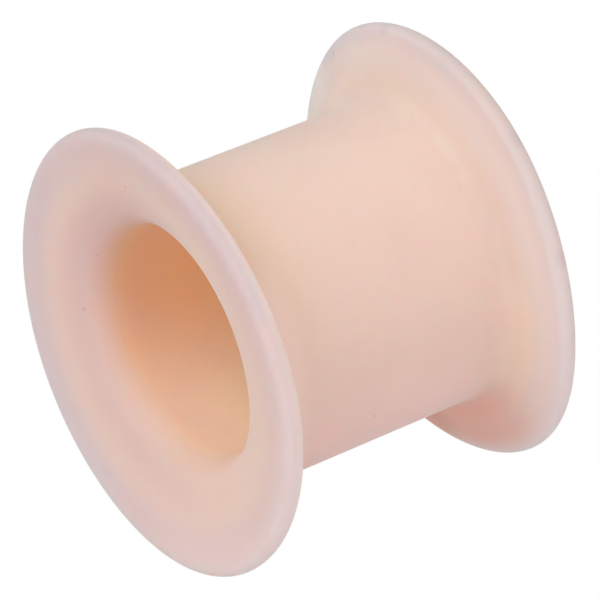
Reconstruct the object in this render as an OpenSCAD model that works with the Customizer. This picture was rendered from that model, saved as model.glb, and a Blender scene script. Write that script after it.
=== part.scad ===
// Ear tunnel of soft silicone, moulded in one piece: a barrel that the ear lobe
// sits on, open right through, with a thin dished flare at each end.
// It stands on the rim of one flare, with the bore upright along Z.

/* [Barrel] */
// Outside diameter of the barrel, which is the size of the stretched hole
barrel_d = 10; // [8:0.1:12.5]
// Diameter of the bore
bore_d = 7.6; // [5:0.1:8.8]
// Length over the two rims
tunnel_l = 11.1; // [8:0.1:20]

/* [Flares] */
// Outside diameter of each flare
flare_d = 14.4; // [13:0.1:18]
// Thickness of a flare, and so the diameter of its rounded rim
flare_t = 0.64; // [0.4:0.02:1]
// How far the edge of the mouth lies below the rim
dish_depth = 0.5; // [0:0.05:1]

/* [Roundings] */
// Radius of the mouth, where a flare's face turns into the bore
mouth_r = 1.16; // [0.6:0.02:1.4]
// Radius in the corner between the barrel and a flare
root_r = 0.65; // [0.2:0.05:1.2]

/* [Hidden] */
$fn = 180;
barrel_r = barrel_d / 2;
bore_r = bore_d / 2;
rim_r = flare_t / 2;
// How far a cut starts outside the surface that it goes into
past = rim_r;
// How far each round edge stands proud of the straight lines that it touches, so that
// they cross cleanly however the numbers round
hair = 0.00002;

// The section is drawn with X as the radius and Y as the way along the bore.
// One end is worked out here, and the other is its mirror image.
rim_centre = [flare_d / 2 - rim_r, tunnel_l / 2 - rim_r];
mouth_centre = [bore_r + mouth_r, tunnel_l / 2 - dish_depth - mouth_r];

// The face of a flare is the straight line that touches the rim and the mouth
mouth_to_rim = rim_centre - mouth_centre;
line_of_centres = atan2(mouth_to_rim.y, mouth_to_rim.x);
face_slope = line_of_centres - asin((mouth_r - rim_r) / norm(mouth_to_rim));
face_outward = [cos(face_slope), sin(face_slope)];
face_normal = [-sin(face_slope), cos(face_slope)];
mouth_edge = mouth_centre + mouth_r * face_normal;

// Height of the face, and of the flare's back, at a distance from the axis
function face_y(x) = mouth_edge.y + (x - mouth_edge.x) * tan(face_slope);
function back_y(x) = face_y(x) - flare_t / cos(face_slope);

// The corner between the barrel and the flare's back is rounded about this point
root_x = barrel_r + root_r;
root_centre = [root_x, back_y(root_x) - root_r / cos(face_slope)];

// Where the sharp-edged blank ends, past the rim
blank_end = rim_centre + (rim_r + past) * face_outward;

// One end of the blank, from the bore out past the rim and back to the barrel
end_points = [
    [bore_r, face_y(bore_r)],
    blank_end + rim_r * face_normal,
    blank_end - rim_r * face_normal,
    root_centre + root_r * face_normal,
    root_centre,
    [barrel_r, root_centre.y],
];

module at_both_ends() {
    children();
    mirror([0, 1]) children();
}

module blank() {
    far_end = [for (i = [len(end_points) - 1 : -1 : 0]) [end_points[i].x, -end_points[i].y]];
    polygon(concat(end_points, far_end));
}

// What rounding the rim takes off the end of a flare
module rim_cut() {
    across = (rim_r + past) * face_normal;
    difference() {
        polygon([
            rim_centre + across,
            blank_end + across + past * face_outward,
            blank_end - across + past * face_outward,
            rim_centre - across,
        ]);
        translate(rim_centre) circle(rim_r + hair);
    }
}

// What leaves a hollow round corner between the barrel and a flare
module root_cut() {
    translate(root_centre) circle(root_r + hair);
}

// What rounding the mouth takes off the edge between a face and the bore
module mouth_cut() {
    difference() {
        polygon([
            [bore_r - past, mouth_centre.y],
            mouth_centre,
            mouth_edge,
            mouth_edge + past * face_normal,
            [bore_r - past, face_y(bore_r) + past],
        ]);
        translate(mouth_centre) circle(mouth_r + hair);
    }
}

module section() {
    difference() {
        blank();
        at_both_ends() rim_cut();
        at_both_ends() root_cut();
        at_both_ends() mouth_cut();
    }
}

module tunnel() {
    color("#E3C1AE")
        translate([0, 0, tunnel_l / 2])
            rotate_extrude()
                section();
}

tunnel();
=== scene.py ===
# %% [markdown]
# # A soft silicone ear tunnel
# An ear tunnel is worn through a stretched ear lobe. It is one piece of soft silicone:
# a short open barrel, and at each end a thin dished flare that keeps it in the lobe.
# The imported CAD part is loaded first, because it fixes the place and the size of all that
# follows.

# %% Load the imported part
import math
import bpy
import numpy as np
from mathutils import Matrix, Vector


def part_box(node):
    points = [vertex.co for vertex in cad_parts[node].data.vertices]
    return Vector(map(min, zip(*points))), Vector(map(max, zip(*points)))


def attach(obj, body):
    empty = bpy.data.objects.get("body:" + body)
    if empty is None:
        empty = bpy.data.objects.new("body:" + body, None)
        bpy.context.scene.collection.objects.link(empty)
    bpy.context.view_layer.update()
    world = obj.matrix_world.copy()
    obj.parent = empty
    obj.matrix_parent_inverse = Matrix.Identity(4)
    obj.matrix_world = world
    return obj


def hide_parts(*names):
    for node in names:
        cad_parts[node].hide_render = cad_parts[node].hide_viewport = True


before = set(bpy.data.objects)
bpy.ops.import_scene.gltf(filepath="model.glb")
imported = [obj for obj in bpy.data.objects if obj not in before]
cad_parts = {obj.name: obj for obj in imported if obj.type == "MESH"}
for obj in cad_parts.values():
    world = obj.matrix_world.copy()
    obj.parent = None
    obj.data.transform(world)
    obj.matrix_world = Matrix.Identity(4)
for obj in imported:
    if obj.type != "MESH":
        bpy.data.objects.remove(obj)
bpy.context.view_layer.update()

# %% [markdown]
# ## The sizes
# The tunnel stands on one flare, with the bore upright along Z. Its length and the
# width of its flares are read from the CAD box, so the two models can't drift apart.
# The other sizes are the ones that the CAD part is drawn from, in metres.

# %% Sizes of the tunnel
mm = 0.001
low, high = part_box("tunnel")
tunnel_length = high[2] - low[2]
flare_radius = (high[0] - low[0]) / 2
middle = (low[2] + high[2]) / 2
barrel_radius = 5.0 * mm
bore_radius = 3.8 * mm
rim_radius = 0.32 * mm
dish_depth = 0.5 * mm
mouth_radius = 1.16 * mm
root_radius = 0.65 * mm
print(f"length {tunnel_length / mm:.2f} mm, flares {2 * flare_radius / mm:.2f} mm across")

# %% [markdown]
# ## The section through the wall
# The tunnel is a body of revolution, so one section through its wall gives the whole
# shape. A curve with a screw modifier would do, but the points are worked out here
# instead: every round edge then gets as many points as it needs, and the plain
# stretches stay light. X is the distance from the axis, Y the height above the middle
# of the tunnel. Only the upper end is worked out. Its three round edges are the rim,
# the mouth, where the face turns into the bore, and the root, the hollow corner
# between the barrel and the back of the flare.

# %% Where the round edges of one end sit
rim_centre = np.array([flare_radius - rim_radius, tunnel_length / 2 - rim_radius])
mouth_height = tunnel_length / 2 - dish_depth - mouth_radius
mouth_centre = np.array([bore_radius + mouth_radius, mouth_height])
mouth_to_rim = rim_centre - mouth_centre
slope = math.atan2(mouth_to_rim[1], mouth_to_rim[0])
slope -= math.asin((mouth_radius - rim_radius) / np.linalg.norm(mouth_to_rim))

off_face = np.array([-math.sin(slope), math.cos(slope)])
back_at_rim = rim_centre - rim_radius * off_face
root_x = barrel_radius + root_radius
back_y = back_at_rim[1] - (back_at_rim[0] - root_x) * math.tan(slope)
root_centre = np.array([root_x, back_y - root_radius / math.cos(slope)])
print(f"the face of a flare rises {math.degrees(slope):.2f} degrees towards its rim")

# %% [markdown]
# The wall of the bore and the barrel are straight, and the edges are arcs. The flares of
# the real tunnel bulge a little: each face rises out of the mouth and rolls over again
# towards the rim, and each back is slightly round too. The CAD part has them straight,
# because that is the design, and this is the softness of one tunnel. A bulge could be
# pushed up by hand or by a lattice. Here it is a bowed stretch that leaves one round
# edge and arrives at the next one at the slopes given, so no kink shows where they
# meet. Each stretch gives its own points without the last one, which is the first
# point of the next stretch.

# %% Arcs, straight stretches and bowed ones
def arc(centre, radius, start, stop, steps):
    """Points on a round edge, between two angles in radians."""
    turn = np.linspace(start, stop, steps + 1)[:-1]
    return np.column_stack([centre[0] + radius * np.cos(turn), centre[1] + radius * np.sin(turn)])


def straight(start, stop, steps):
    """Points on a straight stretch."""
    share = np.linspace(0, 1, steps + 1)[:-1, None]
    return np.array(start) * (1 - share) + np.array(stop) * share


def on_edge(centre, radius, rise):
    """The point on a round edge where the skin rises by the angle given."""
    return centre + radius * np.array([-math.sin(rise), math.cos(rise)])


def bowed(start, start_slope, stop, stop_slope, steps):
    """Points on a gently bowed stretch that leaves and arrives at the slopes given."""
    gap = stop - start
    turned = math.tan(start_slope) - math.tan(stop_slope)
    along = (gap[1] - gap[0] * math.tan(stop_slope)) / turned
    corner = start + along * np.array([1, math.tan(start_slope)])
    share = np.linspace(0, 1, steps + 1)[:-1, None]
    return start * (1 - share) ** 2 + corner * 2 * share * (1 - share) + stop * share ** 2


# %% [markdown]
# The outline of the upper end runs from the barrel over the rim into the bore. The lower
# end is its mirror image, and the two together close the section.

# %% The outline of the section
quarter = math.pi / 2
mouth_slope, rim_slope = math.radians(20), math.radians(-25)
root_slope, back_slope = math.radians(8), math.radians(26)
mouth_end = on_edge(mouth_centre, mouth_radius, mouth_slope)
face_end = on_edge(rim_centre, rim_radius, rim_slope)
root_end = on_edge(root_centre, root_radius, root_slope)
back_end = on_edge(rim_centre, -rim_radius, back_slope)
face = bowed(mouth_end, mouth_slope, face_end, rim_slope, 24)
upper = np.vstack([
    straight([barrel_radius, 0], [barrel_radius, root_centre[1]], 16),
    arc(root_centre, root_radius, 2 * quarter, quarter + root_slope, 8),
    bowed(root_end, root_slope, back_end, back_slope, 16),
    arc(rim_centre, rim_radius, back_slope - quarter, rim_slope + quarter, 16),
    [face_end],
    face[:0:-1],
    arc(mouth_centre, mouth_radius, quarter + mouth_slope, 2 * quarter, 12),
    straight([bore_radius, mouth_centre[1]], [bore_radius, 0], 16),
])
lower = np.vstack([[bore_radius, 0], upper[:0:-1]]) * [1, -1]
section = np.vstack([upper, lower])
print("points round the section:", len(section))

# %% [markdown]
# ## The soft wall
# The real tunnel is soft. Its flares aren't quite parallel: the upper one leans over by
# a few degrees while the barrel stays straight. Neither rim is a true flat circle
# either: each waves up and down by about a tenth of a millimetre. A soft-body
# simulation would give waves too, but not these ones, so a few plain cosines round the
# rim are used. The lean grows from nothing in the barrel to its full size at the mouth,
# and the waves grow from nothing at the barrel to their full size at the rim.

# %% Turn the section round the axis
around = 192
lean = math.radians(3.16)
lean_rises_at = math.radians(95)
lean_from, lean_full = 2.2 * mm, 4.0 * mm
# each wave: how many crests go round the rim, how high they are, where one of them is
upper_waves = [(2, 0.058 * mm, 141), (3, 0.035 * mm, 67)]
lower_waves = [(2, 0.117 * mm, 91), (3, 0.094 * mm, 106)]


def ease(value, start, stop):
    """0 before start, 1 after stop, and a smooth way between them."""
    share = np.clip((value - start) / (stop - start), 0, 1)
    return share * share * (3 - 2 * share)


angle = np.linspace(0, 2 * math.pi, around, endpoint=False)
radius = np.repeat(section[:, 0], around)
height = np.repeat(section[:, 1], around)
turn = np.tile(angle, len(section))


def ripple(waves):
    """How far a rim stands off its flat circle, all the way round."""
    return sum(size * np.cos(count * (turn - math.radians(crest))) for count, size, crest in waves)


leaning = ease(height, lean_from, lean_full) * math.tan(lean)
leaning = leaning * radius * np.cos(turn - lean_rises_at)
waving = np.where(height > 0, ripple(upper_waves), ripple(lower_waves))
waving *= ease(radius, barrel_radius, flare_radius)
wall = np.column_stack([
    radius * np.cos(turn),
    radius * np.sin(turn),
    middle + height + leaning + waving,
])
lowest, highest = wall[:, 2].min(), wall[:, 2].max()
print(f"{len(wall)} points, from {lowest / mm:.2f} to {highest / mm:.2f} mm high")

# %% [markdown]
# The points become a mesh of four-sided faces, shaded smooth. If the outermost face looks inwards,
# all are turned round. The new piece stands for the plain CAD solid, rides on the same body, and
# takes the silicone made further down.

# %% Build the tunnel
rows, columns = np.meshgrid(np.arange(len(section)), np.arange(around), indexing="ij")
next_row, next_column = (rows + 1) % len(section), (columns + 1) % around
corners = [rows * around + columns, rows * around + next_column]
corners += [next_row * around + next_column, next_row * around + columns]
faces = np.stack(corners, axis=-1).reshape(-1, 4)

mesh = bpy.data.meshes.new("soft_tunnel")
mesh.from_pydata(wall.tolist(), [], faces.tolist())
mesh.shade_smooth()
soft_tunnel = bpy.data.objects.new("soft_tunnel", mesh)
bpy.context.scene.collection.objects.link(soft_tunnel)
outermost = max(mesh.polygons, key=lambda patch: patch.center.to_2d().length)
if outermost.normal.to_2d().dot(outermost.center.to_2d()) < 0:
    mesh.flip_normals()
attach(soft_tunnel, "root")
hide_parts("tunnel")
print("faces:", len(mesh.polygons))

# %% [markdown]
# ## Writing shaders as sums
# A material is a net of nodes. Written node by node it is hard to read, so a small
# class wraps a socket and lets Python's own signs add the Math nodes: `1 - mask` or
# `near * 0.5` then reads like the sum that it is.

# %% A socket that can be added and multiplied
class Value:
    """The output of a node, with Python's arithmetic."""

    def __init__(self, finish, socket):
        self.finish = finish
        self.socket = socket

    def combine(self, operation, first, second):
        settings = {"operation": operation}
        return self.finish.node("ShaderNodeMath", settings, {0: first, 1: second})

    def __add__(self, other):
        return self.combine("ADD", self, other)

    def __sub__(self, other):
        return self.combine("SUBTRACT", self, other)

    def __mul__(self, other):
        return self.combine("MULTIPLY", self, other)

    def __truediv__(self, other):
        return self.combine("DIVIDE", self, other)

    def __pow__(self, other):
        return self.combine("POWER", self, other)

    def __rsub__(self, other):
        return self.combine("SUBTRACT", other, self)

    __radd__ = __add__
    __rmul__ = __mul__


# %% [markdown]
# Every other node comes from one method, which takes its type, its settings, and the
# values or links of its sockets. Three short ones build on it, for the nodes that are
# used most: a soft step, a mix of two colours, and noise.

# %% A finish, and the nodes in it
class Finish:
    """A material's or a world's nodes."""

    def __init__(self, owner):
        owner.use_nodes = True
        self.owner = owner
        self.tree = owner.node_tree
        self.tree.nodes.clear()

    def node(self, kind, settings=None, sockets=None, result=0):
        """Adds a node: its settings first, then its sockets. Gives the chosen output."""
        made = self.tree.nodes.new(kind)
        for name, setting in (settings or {}).items():
            setattr(made, name, setting)
        for name, value in (sockets or {}).items():
            if isinstance(value, Value):
                self.tree.links.new(value.socket, made.inputs[name])
            else:
                made.inputs[name].default_value = value
        return Value(self, made.outputs[result]) if len(made.outputs) else None

    def step(self, value, start, stop):
        """0 before start and 1 after stop, with a smooth way between them."""
        settings = {"interpolation_type": "SMOOTHSTEP"}
        return self.node("ShaderNodeMapRange", settings, {0: value, 1: start, 2: stop})

    def mix(self, mask, first, second):
        """The first colour where the mask is 0, the second where it is 1."""
        settings = {"data_type": "RGBA"}
        sockets = {0: mask, 6: first, 7: second}
        return self.node("ShaderNodeMix", settings, sockets, result=2)

    def noise(self, place, size, detail=2.0):
        """Soft noise between 0 and 1, with spots about as large as the size."""
        settings = {"noise_dimensions": "3D"}
        sockets = {"Vector": place, "Scale": 1 / size, "Detail": detail}
        return self.node("ShaderNodeTexNoise", settings, sockets)


# %% [markdown]
# ## Colours as they are read from a picture
# A colour is named here by the three numbers that a paint program shows for it.
# Blender's sockets want light itself, so the numbers are turned into light first, by
# the curve that all screens share.

# %% From screen numbers to light
def tone(red, green, blue):
    """A colour given by its screen numbers, 0 to 255, as light."""
    light = []
    for number in (red, green, blue):
        share = number / 255
        light.append(share / 12.92 if share <= 0.04045 else ((share + 0.055) / 1.055) ** 2.4)
    return (*light, 1.0)


print("a middling grey, 128 on the screen, is", round(tone(128, 128, 128)[0], 3), "as light")

# %% [markdown]
# ## Skin-toned silicone
# The silicone is a little cloudy: light goes into it, scatters and comes out again a
# short way off. That softens every shadow and makes the inside of the bore glow warm,
# because the light there has gone through more of the colour. Subsurface scattering
# does this for real, further down.
#
# It doesn't do all. In soft light, shade and light that comes through are hard to tell from
# colour, and what the lights leave over of them is therefore painted on as soft tints, each with a
# mask that says where it goes. Painting them on the mesh would do as well, but masks worked out
# from the place read as plain sums. They need the distance from the axis and from the middle, and
# which way the skin looks: out of the nearer end, or back at the barrel.

# %% What the masks measure
silicone = Finish(bpy.data.materials.new("skin_tone_silicone"))
place = silicone.node("ShaderNodeTexCoord", result=3)
way_out = silicone.node("ShaderNodeNewGeometry", result=1)


def part_of(vector, axis):
    """One of a vector's three numbers: 0 for X, 1 for Y, 2 for Z."""
    return silicone.node("ShaderNodeSeparateXYZ", None, {0: vector}, result=axis)


x, y, z = [part_of(place, axis) for axis in range(3)]
upward = part_of(way_out, 2)
from_axis = (x * x + y * y) ** 0.5
from_middle = silicone.node("ShaderNodeMath", {"operation": "ABSOLUTE"}, {0: z - middle})
nearer_end = silicone.node("ShaderNodeMath", {"operation": "SIGN"}, {0: z - middle})
looks_out = nearer_end * upward
print("nodes for the measures:", len(silicone.tree.nodes))

# %% [markdown]
# A direction round the axis is an angle in degrees, counted from the X axis. In the
# photograph's view 350 is the top of the picture, 80 its left side, 170 the bottom and
# 260 the right side. Tones are laid over each other like thin washes, in a fixed order.

# %% Sides of the tunnel, and washes of tone
def on_side(degrees, start, full):
    """1 on the side that lies in a direction round the axis. Start and full are cosines:
    1 is straight in that direction, 0 a quarter turn off, and -1 on the far side."""
    direction = math.radians(degrees)
    turned = (x * math.cos(direction) + y * math.sin(direction)) / from_axis
    return silicone.step(turned, start, full)


def layered(ground, *washes):
    """Lays tones over a ground, each as strongly as its mask says, in the order given."""
    for mask, laid in washes:
        ground = silicone.mix(mask, ground, laid)
    return ground


top_side = on_side(350, 0.2, 1.0)
left_side = on_side(95, -0.8, 0.8)
low_side = on_side(165, -0.8, 1.0)
shaded_side = on_side(150, 0.5, 0.95)
on_upper = silicone.step(z, middle - 1 * mm, middle + 1 * mm)
on_flare = silicone.step(from_axis, barrel_radius + 0.2 * mm, barrel_radius + 1.4 * mm)
on_face = silicone.step(looks_out, -0.6, 0.6)
outside = 1 - silicone.step(looks_out, 0.05, 0.4)
print("nodes with the shared masks:", len(silicone.tree.nodes))

# %% [markdown]
# ## The barrel
# The barrel gets painted light along its top, and painted half shade, pinker, underneath, halfway
# between the flares. Towards the upper flare its top turns a little more yellow, painted shade
# from that flare. Lower down, right beside that flare, it is pale again with painted light, as if
# some light came through the thin flare.

# %% The colour of the barrel
shaded_under_side = on_side(165, 0.2, 0.95) * (1 - silicone.step(from_middle, 2.2 * mm, 4.4 * mm))
in_shade = silicone.step(z, middle + 1.2 * mm, middle + 3.4 * mm) * on_side(320, 0.2, 0.8)
in_shade = in_shade * outside
lit_by_flare = silicone.step(z, middle + 2.55 * mm, middle + 3.6 * mm) * on_side(225, 0.3, 0.9)
lit_by_flare = lit_by_flare * outside
# painted light on the top, painted shade underneath and near the upper flare, painted light beside
# that flare
barrel_colour = layered(
    tone(227, 203, 190),
    (top_side, tone(233, 211, 197)),
    (shaded_under_side, tone(239, 202, 194)),
    (in_shade, tone(227, 204, 183)),
    (lit_by_flare, tone(240, 216, 205)),
)
print("nodes with the barrel:", len(silicone.tree.nodes))

# %% [markdown]
# ## The flares
# The thin flares are cooler than the thick barrel. Their backs get painted light near the top of
# the picture, and painted shade, deepest at the bottom, in the lee of the barrel. Their faces are
# cooler on the left. The lip, where a face bends towards the mouth, gets painted shade, deeper
# than the rest of the face.

# %% The colour of the flares
lit_side_strength = 0.55
lit_side = on_side(5, 0.75, 1.0) * lit_side_strength
# painted shade and painted light on the flares' backs
back_colour = layered(
    tone(224, 207, 201),
    (top_side, tone(219, 206, 199)),
    (shaded_side, tone(224, 182, 166)),
    (lit_side, tone(235, 222, 216)),
)
face_colour = layered(tone(218, 198, 190), (left_side, tone(208, 193, 193)))
flare_colour = layered(back_colour, (on_face, face_colour))

# painted shade on the lip
lip_shade_colour = layered(tone(213, 185, 180), (low_side, tone(211, 189, 181)))
shaded_lip = 1 - silicone.step(from_axis, bore_radius + 0.6 * mm, bore_radius + 2.6 * mm)
shaded_lip = shaded_lip * silicone.step(looks_out, 0.05, 0.5) * on_side(60, -0.9, 0.5)
colour = layered(barrel_colour, (on_flare, flare_colour), (shaded_lip, lip_shade_colour))
print("nodes with the flares:", len(silicone.tree.nodes))

# %% [markdown]
# ## The rims
# The rims are the coolest part, almost grey, because hardly any silicone lies behind them to warm
# the light. That grey is painted, and part of it is painted shade. The rims get painted light on
# their lit side and low down. The tint is a little wider on the upper flare, where it is painted
# darker but for the left side. The very edge is pale again, a painted glow: light comes in from
# behind and straight out of it.

# %% The colour of the rims
rim_start = flare_radius - 0.8 * mm - 0.3 * mm * on_upper
on_rim = silicone.step(from_axis, rim_start, flare_radius)
lit_rim = on_side(15, 0.5, 1.0)
upper_rim_colour = layered(tone(192, 181, 184), (left_side, tone(204, 191, 193)))
# painted shade and painted light on the rims
rim_colour = layered(
    tone(200, 190, 189),
    (lit_rim, tone(208, 200, 206)),
    (on_upper, upper_rim_colour),
    (low_side, tone(218, 204, 206)),
)
# painted glow of light through the very edge
thin_edge = silicone.step(from_axis, flare_radius - 0.5 * mm, flare_radius - 0.15 * mm)
thin_edge = thin_edge * (1 - silicone.step(upward, -0.75, 0.4)) * (0.2 + 0.8 * on_upper)
colour = layered(colour, (on_rim, rim_colour), (thin_edge, tone(236, 216, 211)))
print("nodes with the rims:", len(silicone.tree.nodes))

# %% [markdown]
# ## The foot, the limb and the root
# These are small places of painted light and shade that the wide tints miss. The foot of the upper
# flare's face gets painted light. On the lower flare's back, the corner under the barrel gets
# painted shade, and the limb that peeps out above the barrel painted light. The root, in the
# hollow corner between the barrel and that back, gets painted light on the right and by the limb,
# and deep painted shade at the bottom.

# %% Small places of their own
# painted light on the foot, painted shade in the corner, painted light on the limb
foot_strength = 0.6
foot = on_side(170, 0.8, 1.0) * on_upper * on_face * on_flare * foot_strength
shaded_foot_corner = on_side(137, 0.93, 1.0) * (1 - on_upper) * on_flare * outside
lit_limb = on_side(38, 0.9, 1.0) * (1 - on_upper) * on_flare * outside

by_limb = on_side(25, 0.8, 1.0)
by_root = 1 - silicone.step(from_axis, barrel_radius + 0.5 * mm, barrel_radius + 1.4 * mm)
at_root = (1 - silicone.step(z, middle - 4.4 * mm, middle - 3.5 * mm)) * by_root * outside
right_side = on_side(215, 0.75, 1.0) * (1 - shaded_side)
# painted light and painted shade at the foot, the limb and the root
colour = layered(
    colour,
    (foot, tone(224, 203, 200)),
    (shaded_foot_corner, tone(214, 170, 152)),
    (lit_limb, tone(249, 229, 225)),
    (at_root * right_side, tone(240, 210, 194)),
    (at_root * by_limb, tone(246, 222, 212)),
    (at_root * shaded_side, tone(233, 181, 164)),
)
print("nodes with the small places:", len(silicone.tree.nodes))

# %% [markdown]
# ## The bore
# The bore is painted warmest, a painted glow, because light gets out of it only after many turns
# through the wall. It gets painted shade, deeper towards a mouth and deepest where the wall turns
# in from the face, and painted light on its low side, where more light falls.

# %% The colour of the bore
inside = 1 - silicone.step(from_axis, barrel_radius - 0.2 * mm, barrel_radius - 0.05 * mm)
in_bore = inside * (1 - silicone.step(looks_out, 0.0, 0.9))
pale_side = on_side(170, -0.5, 0.9)
by_mouth = silicone.step(from_middle, 1.0 * mm, 4.2 * mm)
turning_in = silicone.step(looks_out, 0.0, 0.3)
mouth_colour = layered(tone(230, 185, 146), (pale_side, tone(236, 209, 185)))
turn_colour = layered(tone(219, 176, 139), (pale_side, tone(226, 202, 182)))
# painted glow and painted shade in the bore, painted light on its low side
bore_colour = layered(
    tone(250, 199, 150),
    (pale_side, tone(252, 226, 199)),
    (by_mouth, mouth_colour),
    (turning_in, turn_colour),
)
colour = layered(colour, (in_bore, bore_colour))
print("nodes with the bore:", len(silicone.tree.nodes))

# %% [markdown]
# ## Clouds and dust
# No pour of silicone is quite even. A slow cloudiness and a fine mottle, both very
# faint, keep the colour from being flat. A picture of real silicone could be laid on
# instead, but noise has no seams.

# %% Clouds in the silicone
cloud_tone = tone(221, 192, 182)
clouds = silicone.noise(place, 2.5 * mm)
mottle = silicone.noise(place, 0.25 * mm)
cloud_strength, mottle_strength = 0.25, 0.12
colour = layered(
    colour,
    (silicone.step(clouds, 0.45, 0.75) * cloud_strength, cloud_tone),
    (silicone.step(mottle, 0.5, 0.8) * mottle_strength, cloud_tone),
)
print("nodes with the clouds:", len(silicone.tree.nodes))

# %% [markdown]
# Soft silicone picks up dust. A few tiny specks sit on the face and the barrel, and a
# few grey smudges on the lower rim, where fingers hold it. Each is a soft ball in
# space that tints the skin where it meets it.

# %% Specks and smudges
# each spot: where its middle is and how far it reaches, in millimetres
specks = [
    ((4.98, -2.22, 10.69), 0.10),
    ((3.52, 2.21, 10.38), 0.07),
    ((2.15, 3.95, 10.71), 0.09),
    ((-4.25, -2.64, 6.01), 0.09),
]
smudges = [
    ((6.68, -2.42, 0.54), 0.30),
    ((6.71, 1.12, 0.60), 0.22),
    ((1.94, -6.91, 0.21), 0.45),
    ((-1.93, -6.91, 0.30), 0.45),
]
spot_strength, spot_core = 0.35, 0.2


def spotted(ground, spots, spot_tone):
    """Tints a colour with soft spots."""
    for centre, size in spots:
        sockets = {0: place, 1: Vector(centre) * mm}
        away = {"operation": "DISTANCE"}
        away = silicone.node("ShaderNodeVectorMath", away, sockets, result=1)
        near = 1 - silicone.step(away, spot_core * size * mm, size * mm)
        ground = silicone.mix(near * spot_strength, ground, spot_tone)
    return ground


colour = spotted(colour, specks, tone(165, 135, 125))
colour = spotted(colour, smudges, tone(185, 176, 182))
print("specks:", len(specks), "smudges:", len(smudges))

# %% [markdown]
# ## The surface
# The surface is satin. Such parts are moulded against blasted steel, which leaves a
# grain too fine to see by itself: it only spreads the highlight. The clouds make it
# duller here and there. A faint sheen stands for the bloom of fine dust that soft
# silicone soon wears. The scattering reaches about two millimetres, more than the wall
# is thick, and red light goes furthest.

# %% The surface and the shader
grain = silicone.noise(place, 0.12 * mm, detail=3.0)
relief = {"Strength": 0.08, "Distance": 0.02 * mm, "Height": grain}
bump = silicone.node("ShaderNodeBump", None, relief)
skin = silicone.node("ShaderNodeBsdfPrincipled", None, {
    "Base Color": colour,
    "Roughness": 0.46 + 0.1 * clouds,
    "IOR": 1.41,
    "Subsurface Weight": 1.0,
    "Subsurface Radius": (1.0, 0.42, 0.3),
    "Subsurface Scale": 2.2 * mm,
    "Sheen Weight": 0.2,
    "Sheen Roughness": 0.3,
    "Normal": bump,
})
silicone.node("ShaderNodeOutputMaterial", None, {0: skin})
mesh.materials.append(silicone.owner)
print("nodes in the silicone:", len(silicone.tree.nodes))

# %% [markdown]
# ## The camera
# The photograph is taken from far off with a long lens, and the camera is rolled, so
# that the tunnel lies across the picture. A camera could be turned by hand until the
# outlines meet, but the tunnel's own axis is an easier guide. The numbers are the angle
# between the line of sight and the bore, the way that the bore runs across the picture,
# how far off the camera stands, and where the tunnel's middle lies in the picture.

# %% Which way the camera looks
view_to_bore = math.radians(63.355)
bore_across = math.radians(22.06)
up_in_view = Vector((
    -math.sin(view_to_bore) * math.cos(bore_across),
    -math.sin(view_to_bore) * math.sin(bore_across),
    math.cos(view_to_bore),
))
camera_height = math.asin(up_in_view.z)
away_in_view = math.sin(camera_height) * up_in_view - Vector((0, 0, 1))
away_in_view = away_in_view / math.cos(camera_height)
side_in_view = away_in_view.cross(up_in_view)
view_to_world = Matrix((side_in_view, away_in_view, up_in_view))
print("camera above the floor by", round(math.degrees(camera_height), 1), "degrees")

# %% [markdown]
# The camera's place follows from that. The lens is given in pixels of the photograph,
# and turned into the millimetres that Blender wants.

# %% Place the camera
camera_distance = 18.0 * flare_radius
aim_right, aim_down = -0.00510 * flare_radius, -0.01675 * flare_radius
picture_width, focal_pixels = 600, 4182.25
tunnel_middle = Vector((0, 0, middle))
tunnel_in_view = Vector((aim_right, -aim_down, -camera_distance))
camera_place = tunnel_middle - view_to_world @ tunnel_in_view

camera_data = bpy.data.cameras.new("camera")
camera_data.sensor_width = 36
camera_data.lens = camera_data.sensor_width * focal_pixels / picture_width
camera_data.clip_start = 0.01
camera_data.clip_end = 10
camera = bpy.data.objects.new("camera", camera_data)
bpy.context.scene.collection.objects.link(camera)
camera.matrix_world = Matrix.Translation(camera_place) @ view_to_world.to_4x4()
bpy.context.scene.camera = camera
print(f"lens {camera_data.lens:.0f} mm, {camera_distance / mm:.0f} mm from the tunnel")

# %% [markdown]
# ## The floor
# The photograph shows the tunnel on pure white, with no shadow. Paper under real lamps
# would turn grey and cast its light back on the part. This floor is a sheet that shines
# plain white by itself and that only the camera sees, so it stays white and leaves the
# part alone.

# %% A white floor
half = 0.3
floor_corners = [(-half, -half), (half, -half), (half, half), (-half, half)]
floor_mesh = bpy.data.meshes.new("floor")
floor_mesh.from_pydata([(*corner, lowest) for corner in floor_corners], [], [(0, 1, 2, 3)])
floor = bpy.data.objects.new("floor", floor_mesh)
bpy.context.scene.collection.objects.link(floor)
for rays in ("diffuse", "glossy", "transmission", "volume_scatter", "shadow"):
    setattr(floor, "visible_" + rays, False)

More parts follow.
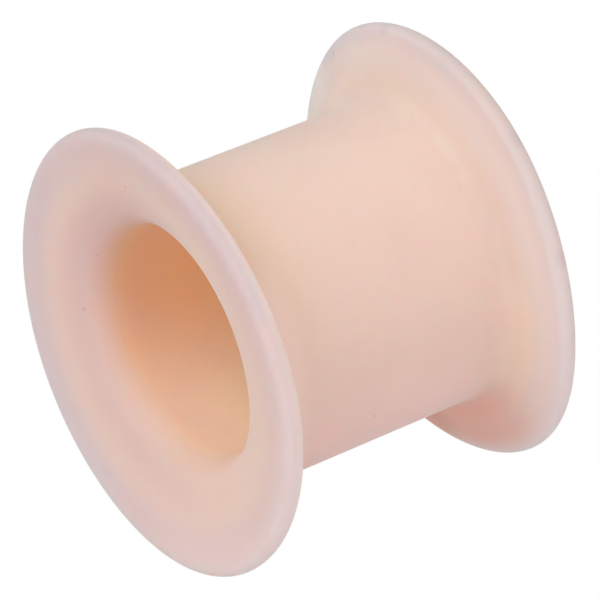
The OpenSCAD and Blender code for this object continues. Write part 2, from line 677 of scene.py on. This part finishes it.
paper = Finish(bpy.data.materials.new("white_table"))
sheet = paper.node("ShaderNodeBsdfPrincipled", None, {
    "Base Color": (0.0, 0.0, 0.0, 1),
    "Roughness": 1.0,
    "Specular IOR Level": 0.0,
    "Emission Color": (1, 1, 1, 1),
    "Emission Strength": 1.0,
})
paper.node("ShaderNodeOutputMaterial", None, {0: sheet})
floor_mesh.materials.append(paper.owner)
print(f"the floor lies at {lowest / mm:.2f} mm, under the lowest point of the rim")

# %% [markdown]
# ## The light
# The part is lit as in a tent of white cloth: light comes from everywhere, but most of
# it from the front. Lamps all round would do this too, with more noise. Here the tent
# is the world. Each lobe of light is brightest in one direction and fades to nothing at
# a right angle to it. The directions are the camera's own, because the photograph
# shows where its light comes from, but the lobes stay fixed in the world.

# %% A tent of light
world = bpy.data.worlds.new("light_tent")
bpy.context.scene.world = world
tent = Finish(world)
looking = tent.node("ShaderNodeTexCoord", result=0)
# each lobe: its direction in the camera's terms, and how bright it is
lobes = {
    "front": ((0, 0, 1), 1.115),
    "left": ((-1, 0, 0), 0.380),
    "right": ((1, 0, 0), 0.384),
    "above": ((0, 1, 0), 0.153),
    "below": ((0, -1, 0), 0.314),
    "behind": ((0, 0, -1), 0.35),
}
brightness = 0.0
for direction, strength in lobes.values():
    sockets = {0: looking, 1: view_to_world @ Vector(direction)}
    share = {"operation": "DOT_PRODUCT"}
    share = tent.node("ShaderNodeVectorMath", share, sockets, result=1)
    lit = tent.node("ShaderNodeMath", {"operation": "MAXIMUM"}, {0: share, 1: 0.0})
    brightness = brightness + strength * lit
cloth = tent.node("ShaderNodeBackground", None, {"Color": brightness})
tent.node("ShaderNodeOutputWorld", None, {0: cloth})
print("lobes of light:", ", ".join(lobes))

# %% [markdown]
# One round softbox, up on the left and in front, gives the barrel its shading. The
# colours are shown as they are, without a film look, because the photograph's white
# is plain white.

# %% The softbox
key_direction = view_to_world @ Vector((-0.5, 0.6, 0.6)).normalized()
key_distance = 0.10
key_data = bpy.data.lights.new("key", "AREA")
key_data.shape = "DISK"
key_data.size = 0.05
key_data.energy = 0.0264
key = bpy.data.objects.new("key", key_data)
key.location = tunnel_middle + key_direction * key_distance
key.rotation_mode = "QUATERNION"
key.rotation_quaternion = key_direction.to_track_quat("Z", "Y")
bpy.context.scene.collection.objects.link(key)
bpy.context.scene.view_settings.view_transform = "Standard"
print(f"softbox {key_data.size / mm:.0f} mm across, {key_distance / mm:.0f} mm away")
